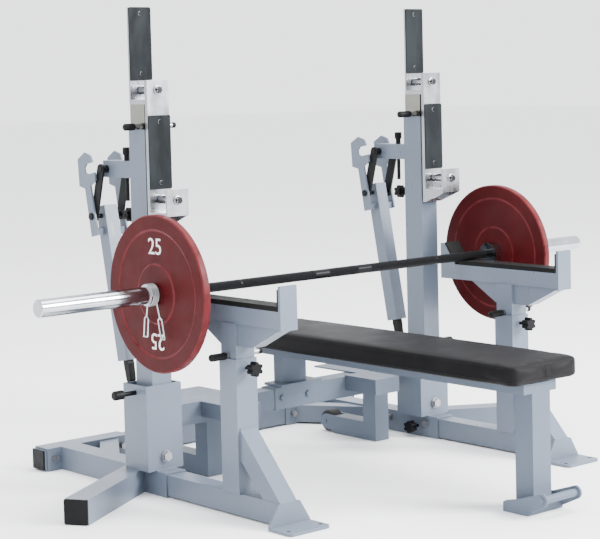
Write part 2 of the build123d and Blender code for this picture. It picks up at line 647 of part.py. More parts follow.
# ---------------------------------------------------------------- bench
def make_bench_pad():
    """Upholstered board of the bench."""
    with BuildPart() as pad:
        block(around(PAD_X, PAD_WIDTH), PAD_Y, PAD_Z)
        fillet(pad.edges().filter_by(Axis.Z), 32)
    finish(pad.part, "bench_pad")


def make_bench_rails():
    """Two rails under the pad and the cross strips that tie them."""
    with BuildPart() as rails:
        for edge in (-1, 1):
            block(around(BENCH_X + edge * RAIL_X, RAIL[0]), (FRONT_LEG_Y[0], PAD_Y[1] - 40),
                  (PAD_Z[0] - RAIL[1], PAD_Z[0]))
        for y in (HEAD_LEG_Y, FRONT_LEG_Y):
            block(around(BENCH_X, 2 * RAIL_X - RAIL[0]), y, (PAD_Z[0] - RAIL[1], PAD_Z[0] - 2))
    finish(rails.part, "bench_rails")


def make_bench_legs():
    """Front leg with its foot and lift rod, and the short head leg with its saddle."""
    under = PAD_Z[0] - RAIL[1]
    with BuildPart() as legs:
        block(around(BENCH_X + 4, 74), FRONT_LEG_Y, (8, under))
        block(around(BENCH_X, 2 * FOOT_HALF), FOOT_Y, (0, 8))
        for edge in (-1, 1):
            x = BENCH_X + edge * (FOOT_HALF - 3)
            heel = FOOT_Y[1]
            toe = FOOT_Y[0]
            reach = LIFT_ROD_R * 0.94
            slab([(heel, 6), (heel, 27), (heel - 12, 33), (toe + 30, 44),
                  (LIFT_ROD_Y + 6, LIFT_ROD_Z + reach),
                  (LIFT_ROD_Y - 6, LIFT_ROD_Z - reach), (toe, 6)], side_plane(x), 3, both=True)
            rod((x - 3, LIFT_ROD_Y, LIFT_ROD_Z), (x + 3, LIFT_ROD_Y, LIFT_ROD_Z), LIFT_ROD_R)
            rod((x, LIFT_ROD_Y, LIFT_ROD_Z), (x + edge * 6, LIFT_ROD_Y, LIFT_ROD_Z), 9)
        rod((BENCH_X - FOOT_HALF, LIFT_ROD_Y, LIFT_ROD_Z),
            (BENCH_X + FOOT_HALF, LIFT_ROD_Y, LIFT_ROD_Z), 11)
        block(around(BENCH_X, 2 * FOOT_HALF - 12), (FOOT_Y[0], FOOT_Y[0] + 6), (6, 26))
        saddle = CROSS_Z[1] + 3
        block(around(BENCH_X, 100), HEAD_LEG_Y, (saddle + 8, under))
        block(around(BENCH_X, 170), (CROSS_Y[0] - 4, HEAD_LEG_Y[1] + 8), (saddle, saddle + 8))
    finish(legs.part, "bench_legs")


def make_cross_beam():
    """Telescoping beam under the head end: an inner tube on the left in a sleeve on the right."""
    middle_y = sum(CROSS_Y) / 2
    middle_z = sum(CROSS_Z) / 2
    size = CROSS_Z[1] - CROSS_Z[0]
    with BuildPart() as beam:
        block((CROSS_JOINT_X, CROSS_END_X), around(middle_y, size + 6), around(middle_z, size + 6))
        block((CROSS_JOINT_X + 300, CROSS_END_X + 1), around(middle_y, size - 2),
              around(middle_z, size - 2), Mode.SUBTRACT)
        block((-CROSS_END_X, CROSS_JOINT_X), around(middle_y, size), around(middle_z, size))
        block((-CROSS_END_X - 1, CROSS_JOINT_X - 60), around(middle_y, size - 8),
              around(middle_z, size - 8), Mode.SUBTRACT)
        for x in (-48.0, 60.0):
            hexagon((x, middle_y - size / 2 - 3, 206), (0, -1, 0), 17, 8)
    finish(beam.part, "cross_beam")


def make_wheel_legs():
    """Two L-shaped legs under the cross beam, forked at the back for the wheels, and their step plates."""
    with BuildPart() as legs:
        for edge in (-1, 1):
            x = BENCH_X + edge * WHEEL_LEG_X
            top = CROSS_Z[0] - (3 if edge > 0 else 0)
            block(around(x, WHEEL_LEG), around(sum(CROSS_Y) / 2, WHEEL_LEG), (0, top))
            back = sum(CROSS_Y) / 2 + WHEEL_LEG / 2
            block(around(x, WHEEL_LEG), (back, WHEEL_Y - WHEEL_R - 6), (0, WHEEL_LEG))
            for cheek in (-1, 1):
                at = x + cheek * (WHEEL_LEG / 2 - 3)
                slab([(WHEEL_Y - WHEEL_R - 6, 6), (WHEEL_Y, 12), (WHEEL_Y, 62),
                     (WHEEL_Y - WHEEL_R - 6, WHEEL_LEG)],
                     side_plane(at), 3, both=True)
                rod((at - 3, WHEEL_Y, 37), (at + 3, WHEEL_Y, 37), 25)
            rod((x - WHEEL_LEG / 2 - 4, WHEEL_Y, 37), (x + WHEEL_LEG / 2 + 4, WHEEL_Y, 37), 6)
    finish(legs.part, "wheel_legs")


def make_step_plates():
    """Two folded step plates: a shelf over each wheel leg and a channel-shaped tread before the beam."""
    with BuildPart() as steps:
        for tread, shelf, lift in zip(TREAD_X, SHELF_X, (0, 3)):
            top = (STEP_Z + lift, STEP_Z + 5 + lift)
            block(shelf, (CROSS_Y[0], STEP_Y[1]), top)
            block(tread, (STEP_Y[0], CROSS_Y[0]), top)
            side = (STEP_Z - 42, STEP_Z + lift)
            block((tread[0], tread[0] + 5), (STEP_Y[0], CROSS_Y[0] - 4), side)
            block((tread[1] - 5, tread[1]), (STEP_Y[0], CROSS_Y[0] - 4), side)
            block(tread, (STEP_Y[0], STEP_Y[0] + 5), side)
    finish(steps.part, "step_plates")


def make_wheel(name, edge):
    """Transport wheel of the bench, just clear of the floor."""
    x = BENCH_X + edge * WHEEL_LEG_X
    with BuildPart() as wheel:
        rod((x - 22, WHEEL_Y, 37), (x + 22, WHEEL_Y, 37), WHEEL_R)
        chamfer(wheel.edges(), 3)
        rod((x - 23, WHEEL_Y, 37), (x + 23, WHEEL_Y, 37), 6.05, Mode.SUBTRACT)
    finish(wheel.part, f"bench_wheel_{name}")


# ---------------------------------------------------------------- barbell


def make_bar_shaft():
    """Bar shaft with the spindle ends on which the sleeves turn."""
    with BuildPart() as shaft:
        rod((-INNER_COLLAR_X, BAR_Y, BAR_Z), (INNER_COLLAR_X, BAR_Y, BAR_Z), SHAFT_R)
        for _, s in SIDES:
            rod((s * INNER_COLLAR_X, BAR_Y, BAR_Z), (s * (BAR_LENGTH / 2 - 12), BAR_Y, BAR_Z), 12)
    finish(shaft.part, "bar_shaft")


def make_bar_sleeve(name, s):
    """Rotating sleeve with its collar, and the spring clip that holds the plate."""
    collar = INNER_COLLAR_X
    plate_out = collar + COLLAR_WIDTH + PLATE_THICK
    with BuildPart() as sleeve:
        rod((s * (collar + GAP), BAR_Y, BAR_Z), (s * (collar + COLLAR_WIDTH), BAR_Y, BAR_Z), COLLAR_R)
        rod((s * (collar + COLLAR_WIDTH), BAR_Y, BAR_Z), (s * BAR_LENGTH / 2, BAR_Y, BAR_Z), SLEEVE_R)
        chamfer(sleeve.edges().filter_by(GeomType.CIRCLE).sort_by(Axis.X)[-1 if s > 0 else 0], 3)
        rod((s * (plate_out + 6), BAR_Y, BAR_Z), (s * (plate_out + 34), BAR_Y, BAR_Z), SLEEVE_R + 5)
        clip = s * (plate_out + 12)
        for y, lean in ((-20, -14), (20, 8)):
            neck = (clip, BAR_Y + y, BAR_Z - 16)
            bend = (clip, BAR_Y + y + lean, BAR_Z - 62)
            rod(neck, bend, CLIP_WIRE)
            for edge in (-9, 9):
                tip = (clip, BAR_Y + y + 1.9 * lean + edge, BAR_Z - 122)
                shoulder = (clip, BAR_Y + y + 1.1 * lean + edge, BAR_Z - 70)
                rod(bend, shoulder, CLIP_WIRE)
                rod(shoulder, tip, CLIP_WIRE)
            low = BAR_Z - 122
            rod((clip, BAR_Y + y + 1.9 * lean - 11, low), (clip, BAR_Y + y + 1.9 * lean + 11, low),
                CLIP_WIRE)
        rod((s * (collar - 1), BAR_Y, BAR_Z), (s * (BAR_LENGTH / 2 - 11.5), BAR_Y, BAR_Z), 12.05,
            Mode.SUBTRACT)
    finish(sleeve.part, f"bar_sleeve_{name}")


def make_bar_plate(name, s):
    """Competition weight plate: raised rim and hub ring around a metal insert."""
    start = INNER_COLLAR_X + COLLAR_WIDTH
    plane = Plane(origin=(0, BAR_Y, BAR_Z), x_dir=(1, 0, 0), z_dir=(0, -1, 0))
    low = s * start
    high = s * (start + PLATE_THICK)
    recess = s * 3
    with BuildPart() as plate:
        with BuildSketch(plane) as section:
            with BuildLine():
                Polyline((low, SLEEVE_R + 0.3), (low, PLATE_R - 3), (low + s * 3, PLATE_R),
                         (high - s * 3, PLATE_R),
                         (high, PLATE_R - 3), (high, PLATE_R - 40), (high - recess, PLATE_R - 46),
                         (high - recess, 88), (high, 82), (high, SLEEVE_R + 0.3), close=True)
            make_face()
        revolve(section.sketch, axis=Axis((0, BAR_Y, BAR_Z), (1, 0, 0)))
    finish(plate.part, f"bar_plate_{name}")


# ---------------------------------------------------------------- build
make_rear_beam()
make_side_frames()
make_outriggers()
make_base_caps()
make_housings()
make_base_bolts()
make_bench_pad()
make_bench_rails()
make_bench_legs()
make_cross_beam()
make_wheel_legs()
make_step_plates()
make_bar_shaft()
for side, sign in SIDES:
    make_upright(side, sign)
    make_rack_knob(side, sign)
    make_stow_pin(side, sign)
    make_tilt_pin(side, sign)
    make_rack_post(side, sign)
    make_hook(side, sign)
    make_wear_plates(side, sign)
    make_rollers(side, sign)
    make_rack_pin(side, sign)
    make_jack_links(side, sign)
    make_jack_lever(side, sign)
    make_jack_grip(side, sign)
    make_front_leg(side, sign)
    make_safety_post(side, sign)
    make_leg_knob(side, sign)
    make_safety_knob(side, sign)
    make_safety_pin(side, sign)
    make_safety(side, sign)
    make_safety_pads(side, sign)
    make_wheel(side, sign)
    make_bar_sleeve(side, sign)
    make_bar_plate(side, sign)
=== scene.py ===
"""Looks of the competition bench press: camera, light, materials and small or soft pieces."""
import json
import math

import bmesh
import bpy
from mathutils import Matrix, Vector
from mathutils.bvhtree import BVHTree


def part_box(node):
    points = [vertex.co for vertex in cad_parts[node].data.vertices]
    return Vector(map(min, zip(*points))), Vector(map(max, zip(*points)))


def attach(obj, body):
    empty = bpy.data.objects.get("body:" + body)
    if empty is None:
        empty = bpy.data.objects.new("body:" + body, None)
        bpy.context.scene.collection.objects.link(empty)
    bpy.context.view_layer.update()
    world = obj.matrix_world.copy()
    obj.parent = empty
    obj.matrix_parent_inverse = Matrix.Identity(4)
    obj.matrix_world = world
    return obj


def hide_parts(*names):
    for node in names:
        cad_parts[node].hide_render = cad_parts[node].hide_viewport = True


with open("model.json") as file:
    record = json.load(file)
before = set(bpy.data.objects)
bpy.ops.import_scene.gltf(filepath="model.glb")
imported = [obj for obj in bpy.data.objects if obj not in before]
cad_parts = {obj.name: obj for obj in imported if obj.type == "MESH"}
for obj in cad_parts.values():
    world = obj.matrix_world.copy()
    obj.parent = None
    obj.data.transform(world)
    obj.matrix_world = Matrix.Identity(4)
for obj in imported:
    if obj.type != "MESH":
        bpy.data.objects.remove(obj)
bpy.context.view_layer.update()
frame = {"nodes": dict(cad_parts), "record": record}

NODES = frame["nodes"]
SIDES = (("left", -1), ("right", 1))

RACK_X = 0.565                 # centre plane of each side frame
JACK_ARM_Z = 0.962             # middle of the arm welded to each upright
BRACE_TOP_Z = 0.250
PLATE_RIM_R = 0.2235           # raised edges on the face of a weight plate
PLATE_RING_R = 0.181
PLATE_INNER_R = 0.085
NUMERAL_R = 0.133
COVER_CORNER_R = 0.034
SEAM_DROP = 0.0125             # seams below the top of the cushion
SEAM_HEIGHT = 0.040


# ---------------------------------------------------------------- shader maths
class Wire:
    """One value in a node tree, with ordinary operators."""

    def __init__(self, mat, socket):
        self.mat = mat
        self.socket = socket

    def __add__(self, other):
        return self.mat.math("ADD", self, other)

    def __sub__(self, other):
        return self.mat.math("SUBTRACT", self, other)

    def __rsub__(self, other):
        return self.mat.math("SUBTRACT", other, self)

    def __mul__(self, other):
        return self.mat.math("MULTIPLY", self, other)

    def __gt__(self, other):
        return self.mat.math("GREATER_THAN", self, other)

    def __lt__(self, other):
        return self.mat.math("LESS_THAN", self, other)

    def of(self, kind):
        return self.mat.math(kind, self)


class Material:
    """A principled material that is built from object coordinates."""

    def __init__(self, name, color, rough, metal=0.0, gloss=0.5):
        self.data = bpy.data.materials.new(name)
        self.data.use_nodes = True
        self.tree = self.data.node_tree
        self.shader = self.tree.nodes["Principled BSDF"]
        self.color = tuple(color) + (1.0,)
        self.set("Base Color", self.color)
        self.set("Roughness", rough)
        self.set("Metallic", metal)
        self.set("Specular IOR Level", gloss)
        self.height = None
        self.place = self.node("ShaderNodeTexCoord").outputs["Object"]

    def node(self, kind, **settings):
        made = self.tree.nodes.new(kind)
        for key, value in settings.items():
            setattr(made, key, value)
        return made

    def feed(self, target, value):
        if isinstance(value, Wire):
            self.tree.links.new(value.socket, target)
        elif isinstance(value, bpy.types.NodeSocket):
            self.tree.links.new(value, target)
        else:
            target.default_value = value

    def set(self, name, value):
        self.feed(self.shader.inputs[name], value)

    def math(self, kind, first, second=None):
        made = self.node("ShaderNodeMath", operation=kind)
        self.feed(made.inputs[0], first)
        if second is not None:
            self.feed(made.inputs[1], second)
        return Wire(self, made.outputs[0])

    def axis(self, name):
        split = self.node("ShaderNodeSeparateXYZ")
        self.feed(split.inputs[0], self.place)
        return Wire(self, split.outputs[name])

    def noise(self, scale, detail=3.0, stretch=(1, 1, 1)):
        mapping = self.node("ShaderNodeMapping")
        self.feed(mapping.inputs["Vector"], self.place)
        mapping.inputs["Scale"].default_value = stretch
        made = self.node("ShaderNodeTexNoise")
        self.feed(made.inputs["Vector"], mapping.outputs[0])
        made.inputs["Scale"].default_value = scale
        made.inputs["Detail"].default_value = detail
        return Wire(self, made.outputs["Fac"])

    def cells(self, scale):
        made = self.node("ShaderNodeTexVoronoi")
        self.feed(made.inputs["Vector"], self.place)
        made.inputs["Scale"].default_value = scale
        return Wire(self, made.outputs["Distance"])

    def ramp(self, value, low, high, to_low=0.0, to_high=1.0):
        made = self.node("ShaderNodeMapRange")
        self.feed(made.inputs["Value"], value)
        for key, number in zip(("From Min", "From Max", "To Min", "To Max"), (low, high, to_low, to_high)):
            made.inputs[key].default_value = number
        return Wire(self, made.outputs[0])

    def mix(self, factor, first, second):
        made = self.node("ShaderNodeMix", data_type="RGBA")
        self.feed(made.inputs["Factor"], factor)
        self.feed(made.inputs[6], first if not isinstance(first, tuple) else (first + (1.0,))[:4])
        self.feed(made.inputs[7], second if not isinstance(second, tuple) else (second + (1.0,))[:4])
        return Wire(self, made.outputs[2])

    def relief(self, height, strength, distance=0.001):
        made = self.node("ShaderNodeBump")
        made.inputs["Strength"].default_value = strength
        made.inputs["Distance"].default_value = distance
        self.feed(made.inputs["Height"], height)
        if self.height is not None:
            self.feed(made.inputs["Normal"], self.height)
        self.height = made.outputs["Normal"]
        self.set("Normal", self.height)


def shift(color, factor):
    return tuple(min(1.0, c * factor) for c in color)


def powder(name, color, rough):
    """Powder coat: orange peel, cloudy tone and faint handling marks."""
    m = Material(name, color, rough, gloss=0.40 if color[0] > 0.1 else 0.10)
    cloud = m.noise(5.0, 4.0)
    m.set("Base Color", m.mix(m.ramp(cloud, 0.3, 0.7), shift(color, 0.93), shift(color, 1.05)))
    scuff = m.ramp(m.noise(38.0, 6.0, (1, 1, 0.25)), 0.58, 0.74)
    m.set("Roughness", m.ramp(scuff, 0.0, 1.0, rough, rough - 0.12))
    m.relief(m.noise(520.0, 2.0), 0.18, 0.0006)
    return m


def plated(name, color, rough, streak=0.12, metal=1.0):
    """Plated steel with rolled streaks and clouded patches."""
    m = Material(name, color, rough, metal=metal)
    cloud = m.noise(16.0, 5.0)
    fine = m.noise(60.0, 4.0, (1, 1, 0.06))
    m.set("Base Color", m.mix(m.ramp(cloud, 0.35, 0.68), shift(color, 0.82), color))
    m.set("Roughness", m.ramp(cloud * 0.6 + fine * 0.4, 0.3, 0.7, rough - streak / 2, rough + streak))
    m.relief(fine, 0.06, 0.0004)
    return m


def moulded(name, color, rough):
    """Moulded black plastic with a fine grain."""
    m = Material(name, color, rough, gloss=0.10)
    m.set("Roughness", m.ramp(m.noise(45.0, 4.0), 0.3, 0.7, rough - 0.08, rough + 0.1))
    m.set("Base Color", m.mix(m.ramp(m.noise(9.0), 0.3, 0.7), color, shift(color, 1.5)))
    m.relief(m.noise(900.0, 2.0), 0.3, 0.0004)
    return m


def slate():
    """Smudged dark wear plates: streaky smears that are lighter and smoother, over the whole plate."""
    color = (0.0060, 0.0080, 0.0095)
    m = Material("slate", color, 0.48, gloss=0.09)
    smear = m.ramp(m.noise(14.0, 8.0, (1.0, 1.0, 0.35)), 0.42, 0.62)
    m.set("Base Color", m.mix(smear, shift(color, 0.75), shift(color, 1.6)))
    m.set("Roughness", m.ramp(smear, 0.0, 1.0, 0.62, 0.40))
    m.relief(m.noise(70.0, 8.0, (1, 1, 0.1)), 0.15, 0.0006)
    return m


def vinyl():
    """Black pad vinyl: pebble grain, soft sheen and broad creases."""
    color = (0.0042, 0.0040, 0.0043)
    m = Material("vinyl", color, 0.46, gloss=0.07)
    cloud = m.noise(7.0, 4.0)
    m.set("Base Color", m.mix(m.ramp(cloud, 0.3, 0.7), color, shift(color, 1.9)))
    m.set("Roughness", m.ramp(cloud, 0.3, 0.7, 0.42, 0.54))
    m.relief(m.cells(620.0), 0.35, 0.0006)
    m.relief(m.noise(13.0, 3.0, (1, 0.4, 1)), 0.25, 0.0030)
    return m


def red_rubber():
    """Dark red plate: concentric grooves and patchy, lighter wear on the rim and the raised rings."""
    color = (0.048, 0.0012, 0.0021)
    m = Material("plate_rubber", color, 0.46, gloss=0.12)
    low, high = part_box("bar_plate_left")
    mid_y = (low[1] + high[1]) / 2
    mid_z = (low[2] + high[2]) / 2
    y = m.axis("Y") - mid_y
    z = m.axis("Z") - mid_z
    radius = (y * y + z * z).of("SQRT")
    rim = m.ramp((radius - PLATE_RIM_R).of("ABSOLUTE"), 0.0, 0.0035, 1.0, 0.0)
    ring = m.ramp((radius - PLATE_RING_R).of("ABSOLUTE"), 0.0, 0.0045, 1.0, 0.0)
    inner = m.ramp((radius - PLATE_INNER_R).of("ABSOLUTE"), 0.0, 0.0040, 1.0, 0.0)
    edge = ((rim + ring + inner) * m.ramp(m.noise(30.0), 0.3, 0.6)).of("SQRT")
    base = m.mix(m.ramp(m.noise(11.0, 5.0), 0.3, 0.7), shift(color, 0.82), shift(color, 1.12))
    m.set("Base Color", m.mix(edge * 0.5, base, (0.17, 0.028, 0.033)))
    m.set("Roughness", m.ramp(m.noise(24.0, 5.0), 0.3, 0.7, 0.38, 0.56))
    m.relief((radius * 900.0).of("SINE"), 0.05, 0.0005)
    m.relief(m.noise(600.0, 2.0), 0.2, 0.0004)
    return m


def knurled():
    """Black oxide shaft with knurled bands and the plain rings of a competition bar."""
    color = (0.011, 0.011, 0.012)
    m = Material("shaft_oxide", color, 0.34, metal=1.0)
    low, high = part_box("bar_shaft")
    mid_y = (low[1] + high[1]) / 2
    mid_z = (low[2] + high[2]) / 2
    x = m.axis("X")
    angle = m.math("ARCTAN2", m.axis("Z") - mid_z, m.axis("Y") - mid_y)
    across = x.of("ABSOLUTE")
    band = (across > 0.115) * (across < 0.636)
    centre = across < 0.060
    ring = m.ramp((across - 0.405).of("ABSOLUTE"), 0.0025, 0.0035)
    mask = m.math("MAXIMUM", band * ring, centre)
    left = (x * 2400.0 + angle * 34.0).of("SINE")
    right = (x * 2400.0 - angle * 34.0).of("SINE")
    m.relief((left * right) * mask, 0.9, 0.0005)
    m.set("Roughness", m.ramp(mask, 0.0, 1.0, 0.36, 0.52))
    m.set("Base Color", m.mix(mask, shift(color, 1.1), color))
    return m


PAINT = powder("grey_powder", (0.106, 0.130, 0.170), 0.36)
PAINT_BENCH = powder("grey_powder_bench", (0.098, 0.120, 0.156), 0.38)
ZINC = plated("hook_plate", (0.36, 0.37, 0.39), 0.24)
BOLT = plated("bolt_plate", (0.34, 0.34, 0.35), 0.34)
CHROME = plated("bright_chrome", (0.50, 0.52, 0.55), 0.13, 0.05)
POST = plated("post_plate", (0.25, 0.245, 0.22), 0.20, 0.08)
DARK_STEEL = plated("dark_steel", (0.030, 0.030, 0.033), 0.36)
BLACK = moulded("black_mould", (0.0045, 0.0045, 0.0050), 0.42)
BLACK_METAL = powder("black_powder", (0.0060, 0.0065, 0.0070), 0.38)
RUBBER = moulded("black_rubber", (0.0050, 0.0050, 0.0050), 0.60)
TREAD = moulded("wheel_rubber", (0.026, 0.026, 0.027), 0.6)
SLATE = slate()
VINYL = vinyl()
RED = red_rubber()
OXIDE = knurled()
WHITE = moulded("white_mark", (0.62, 0.60, 0.60), 0.5)
WELD = plated("weld_bead", (0.112, 0.135, 0.174), 0.42, 0.1, metal=0.0)

SLOTS = {"frame_paint": PAINT, "hook_zinc": ZINC, "wear_slate": SLATE, "black_plastic": BLACK,
         "black_metal": BLACK_METAL, "bolt_zinc": BOLT, "post_chrome": POST, "pad_vinyl": VINYL,
         "pad_rubber": RUBBER, "wheel_rubber": TREAD, "plate_red": RED, "sleeve_chrome": CHROME,
         "shaft_black": OXIDE}


# ---------------------------------------------------------------- geometry helpers
def put(mesh, name, material, body, smooth=True):
    """An object from a mesh, with its material, riding on a body."""
    made = bpy.data.objects.new(name, mesh)
    bpy.context.collection.objects.link(made)
    mesh.materials.append(material.data)
    if smooth:
        for face in mesh.polygons:
            face.use_smooth = True
    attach(made, body)
    return made


def from_bmesh(bm, name):
    bmesh.ops.recalc_face_normals(bm, faces=bm.faces)
    mesh = bpy.data.meshes.new(name)
    bm.to_mesh(mesh)
    bm.free()
    return mesh


def turned(name, start, way, profile, steps=40):
    """A closed turned piece: profile is (distance along way, radius) from one end to the other."""
    axis = Vector(way).normalized()
    side = axis.orthogonal().normalized()
    up = axis.cross(side)
    bm = bmesh.new()
    rings = []
    for along, radius in profile:
        ring = []
        for k in range(steps):
            turn = 2 * math.pi * k / steps
            out = side * math.cos(turn) + up * math.sin(turn)
            ring.append(bm.verts.new(Vector(start) + axis * along + out * radius))
        rings.append(ring)
    for a, b in zip(rings, rings[1:]):
        for k in range(steps):
            bm.faces.new((a[k], a[(k + 1) % steps], b[(k + 1) % steps], b[k]))
    bm.faces.new(rings[0])
    bm.faces.new(rings[-1])
    return from_bmesh(bm, name)


def swept(name, points, radius, steps=10, closed=False, ripple=0.0):
    """A round wire along points, optionally closed or rippled like a weld bead."""
    places = [Vector(p) for p in points]
    count = len(places)
    bm = bmesh.new()
    rings = []
    normal = None
    for i, here in enumerate(places):
        before = places[i - 1] if i > 0 or closed else places[0]
        after = places[(i + 1) % count] if i < count - 1 or closed else places[-1]
        along = (after - before).normalized()
        normal = along.orthogonal() if normal is None else normal - along * normal.dot(along)
        normal = normal.normalized()
        other = along.cross(normal)
        size = radius * (1 + ripple * math.sin(i * 2.1))
        rings.append([bm.verts.new(here + (normal * math.cos(t) + other * math.sin(t)) * size)
                      for t in (2 * math.pi * k / steps for k in range(steps))])
    pairs = list(zip(rings, rings[1:]))
    if closed:
        pairs.append((rings[-1], rings[0]))
    for a, b in pairs:
        for k in range(steps):
            bm.faces.new((a[k], a[(k + 1) % steps], b[(k + 1) % steps], b[k]))
    if not closed:
        bm.faces.new(rings[0])
        bm.faces.new(rings[-1])
    return from_bmesh(bm, name)


def centre(node):
    low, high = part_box(node)
    return (Vector(low) + Vector(high)) / 2


def soften(obj, width, segments=2):
    """Breaks the sharp edges of a piece so that they catch the light."""
    bevel = obj.modifiers.new("edge", "BEVEL")
    bevel.width = width
    bevel.segments = segments
    bevel.limit_method = "ANGLE"
    bevel.angle_limit = math.radians(40)
    bevel.harden_normals = False


# ---------------------------------------------------------------- finishes on the solids
slot_of = {row["node"]: row["material_slot"] for row in frame["record"]["subparts"]}
BENCH_NODES = {"bench_rails", "bench_legs", "cross_beam", "wheel_legs", "step_plates"}
EDGE = {"side_frames": 0.0022, "rear_beam": 0.002, "outriggers": 0.002, "housings": 0.0014,
        "bench_legs": 0.0016,
        "wheel_legs": 0.0022, "step_plates": 0.001}
for node, obj in NODES.items():
    finish = PAINT_BENCH if node in BENCH_NODES else SLOTS[slot_of[node]]
    for entry in obj.material_slots:
        entry.material = finish.data
    soften(obj, EDGE.get(node, 0.0010 if "hook" in node or "plate" in node else 0.0014))


# ---------------------------------------------------------------- bench cushion
def cushion():
    """The upholstered board: a crowned, sewn cover over a firm foam core."""
    low, high = (Vector(c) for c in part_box("bench_pad"))
    inset = 0.004
    bm = bmesh.new()
    bmesh.ops.create_cube(bm, size=1.0)
    size = high - low
    for vert in bm.verts:
        grow = Vector((size.x - 2 * inset, size.y - 2 * inset, size.z - 0.009))
        vert.co = Vector((vert.co.x * grow.x, vert.co.y * grow.y, vert.co.z * grow.z)) + (low + high) / 2
        vert.co.z -= 0.0040
    upright = [e for e in bm.edges if abs(e.verts[0].co.z - e.verts[1].co.z) > 0.02]
    bmesh.ops.bevel(bm, geom=upright, offset=0.026, segments=6, profile=0.5, affect="EDGES")
    rim = [e for e in bm.edges if all(v.co.z > high.z - 0.02 for v in e.verts) and e.calc_face_angle(0) > 1.0]
    bmesh.ops.bevel(bm, geom=rim, offset=0.007, segments=3, profile=0.5, affect="EDGES")
    mesh = from_bmesh(bm, "cushion")
    pad = put(mesh, "bench_cushion", VINYL, "bench")
    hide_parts("bench_pad")
    remesh = pad.modifiers.new("even", "REMESH")
    remesh.mode = "VOXEL"
    remesh.voxel_size = 0.0075
    bpy.context.view_layer.objects.active = pad
    bpy.ops.object.modifier_apply(modifier="even")
    flat = [v.co.copy() for v in pad.data.vertices]
    cloth = pad.modifiers.new("cover", "CLOTH")
    cloth.settings.use_pressure = True
    cloth.settings.uniform_pressure_force = 3.0
    cloth.settings.effector_weights.gravity = 0
    cloth.settings.quality = 4
    cloth.collision_settings.use_collision = False
    cloth.point_cache.frame_start = 1
    cloth.point_cache.frame_end = 14
    for step in range(1, 15):
        bpy.context.scene.frame_set(step)
    deps = bpy.context.evaluated_depsgraph_get()
    puffed = pad.evaluated_get(deps)
    moved = [v.co.copy() for v in puffed.data.vertices]
    pad.modifiers.remove(cloth)
    bpy.context.scene.frame_set(1)
    middle = (low + high) / 2
    for vert, was, now in zip(pad.data.vertices, flat, moved):
        step = now - was
        if step.length > 0.006:
            step = step.normalized() * 0.006
        across = max(0.0, 1 - ((was.x - middle.x) / (size.x / 2)) ** 2)
        along = max(0.0, 1 - ((was.y - middle.y) / (size.y / 2)) ** 8)
        if was.z > middle.z:
            step.z = step.z * 0.5 + 0.0055 * across ** 0.6 * along
        if was.z < low.z + 0.010:
            step.z = max(step.z, 0.0)
        place = was + step
        place.x = min(max(place.x, low.x + 0.0004), high.x - 0.0004)
        place.y = min(max(place.y, low.y + 0.0004), high.y - 0.0004)
        vert.co = Vector((place.x, place.y, min(max(place.z, low.z + 0.0004), high.z)))
    smooth = pad.modifiers.new("soft", "SMOOTH")
    smooth.iterations = 4
    bpy.ops.object.modifier_apply(modifier="soft")
    detail = pad.modifiers.new("detail", "SUBSURF")
    detail.levels = detail.render_levels = 1
    for face in pad.data.polygons:
        face.use_smooth = True
    deps = bpy.context.evaluated_depsgraph_get()
    return low, high, BVHTree.FromObject(pad, deps)


def rounded(low, high, inset, radius, z, steps=9):
    """Points of a rounded rectangle at height z."""
    points = []
    corners = ((high.x - inset, high.y - inset, 0), (low.x + inset, high.y - inset, 1),
               (low.x + inset, low.y + inset, 2), (high.x - inset, low.y + inset, 3))
    for x, y, quarter in corners:
        cx = x - radius if quarter in (0, 3) else x + radius
        cy = y - radius if quarter in (0, 1) else y + radius
        for k in range(steps):
            turn = math.pi / 2 * (quarter + k / (steps - 1))
            points.append(Vector((cx + radius * math.cos(turn), cy + radius * math.sin(turn), z)))
    full = []
    for a, b in zip(points, points[1:] + points[:1]):
        cuts = max(1, int((b - a).length / 0.02))
        full += [a.lerp(b, k / cuts) for k in range(cuts)]
    return full


def on_cover(points, sink=0.0006):
    """Points moved onto the cushion's surface, a little below it."""
    moved = []
    for point in points:
        place, normal, _, _ = cover.find_nearest(point)
        moved.append(place - normal * sink)
    return moved


pad_low, pad_high, cover = cushion()
for name, drop in (("seam_top", SEAM_DROP), ("seam_low", 0.0530)):
    line = on_cover(rounded(pad_low, pad_high, 0.001, COVER_CORNER_R, pad_high.z - drop))
    put(swept(name, line, 0.0015, 8, closed=True), "bench_" + name, VINYL, "bench")
for name, y in (("seam_front", pad_low.y), ("seam_head", pad_high.y)):
    x = (pad_low.x + pad_high.x) / 2
    line = on_cover([(x, y, pad_high.z - SEAM_DROP - SEAM_HEIGHT * k / 12) for k in range(13)])
    put(swept(name, line, 0.0016, 8), "bench_" + name, VINYL, "bench")


# ---------------------------------------------------------------- small pieces
def wear_fixings(side):
    """Bright domed fixings on the wear plates."""
    low, high = (Vector(c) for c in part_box("wear_plates_" + side))
    x = (low.x + high.x) / 2
    upper_face = high.y - 0.005
    lower_face = low.y + 0.0015
    heights = {upper_face: (high.z - 0.019, high.z - 0.196), lower_face: (low.z + 0.019, low.z + 0.197)}
    for row, (y, values) in enumerate(heights.items()):
        for k, z in enumerate(values):
            profile = [(0.0, 0.0066), (0.001, 0.0068), (0.0024, 0.0060), (0.0030, 0.0044), (0.0032, 0.0028),
                       (0.0020, 0.0024), (0.0020, 0.0004)]
            head = turned("fixing", (x, y, z), (0, -1, 0), [(a * 0.45, r) for a, r in profile], 32)
            put(head, f"wear_fixing_{side}_{row}{k}", ZINC, "rack_post_" + side)


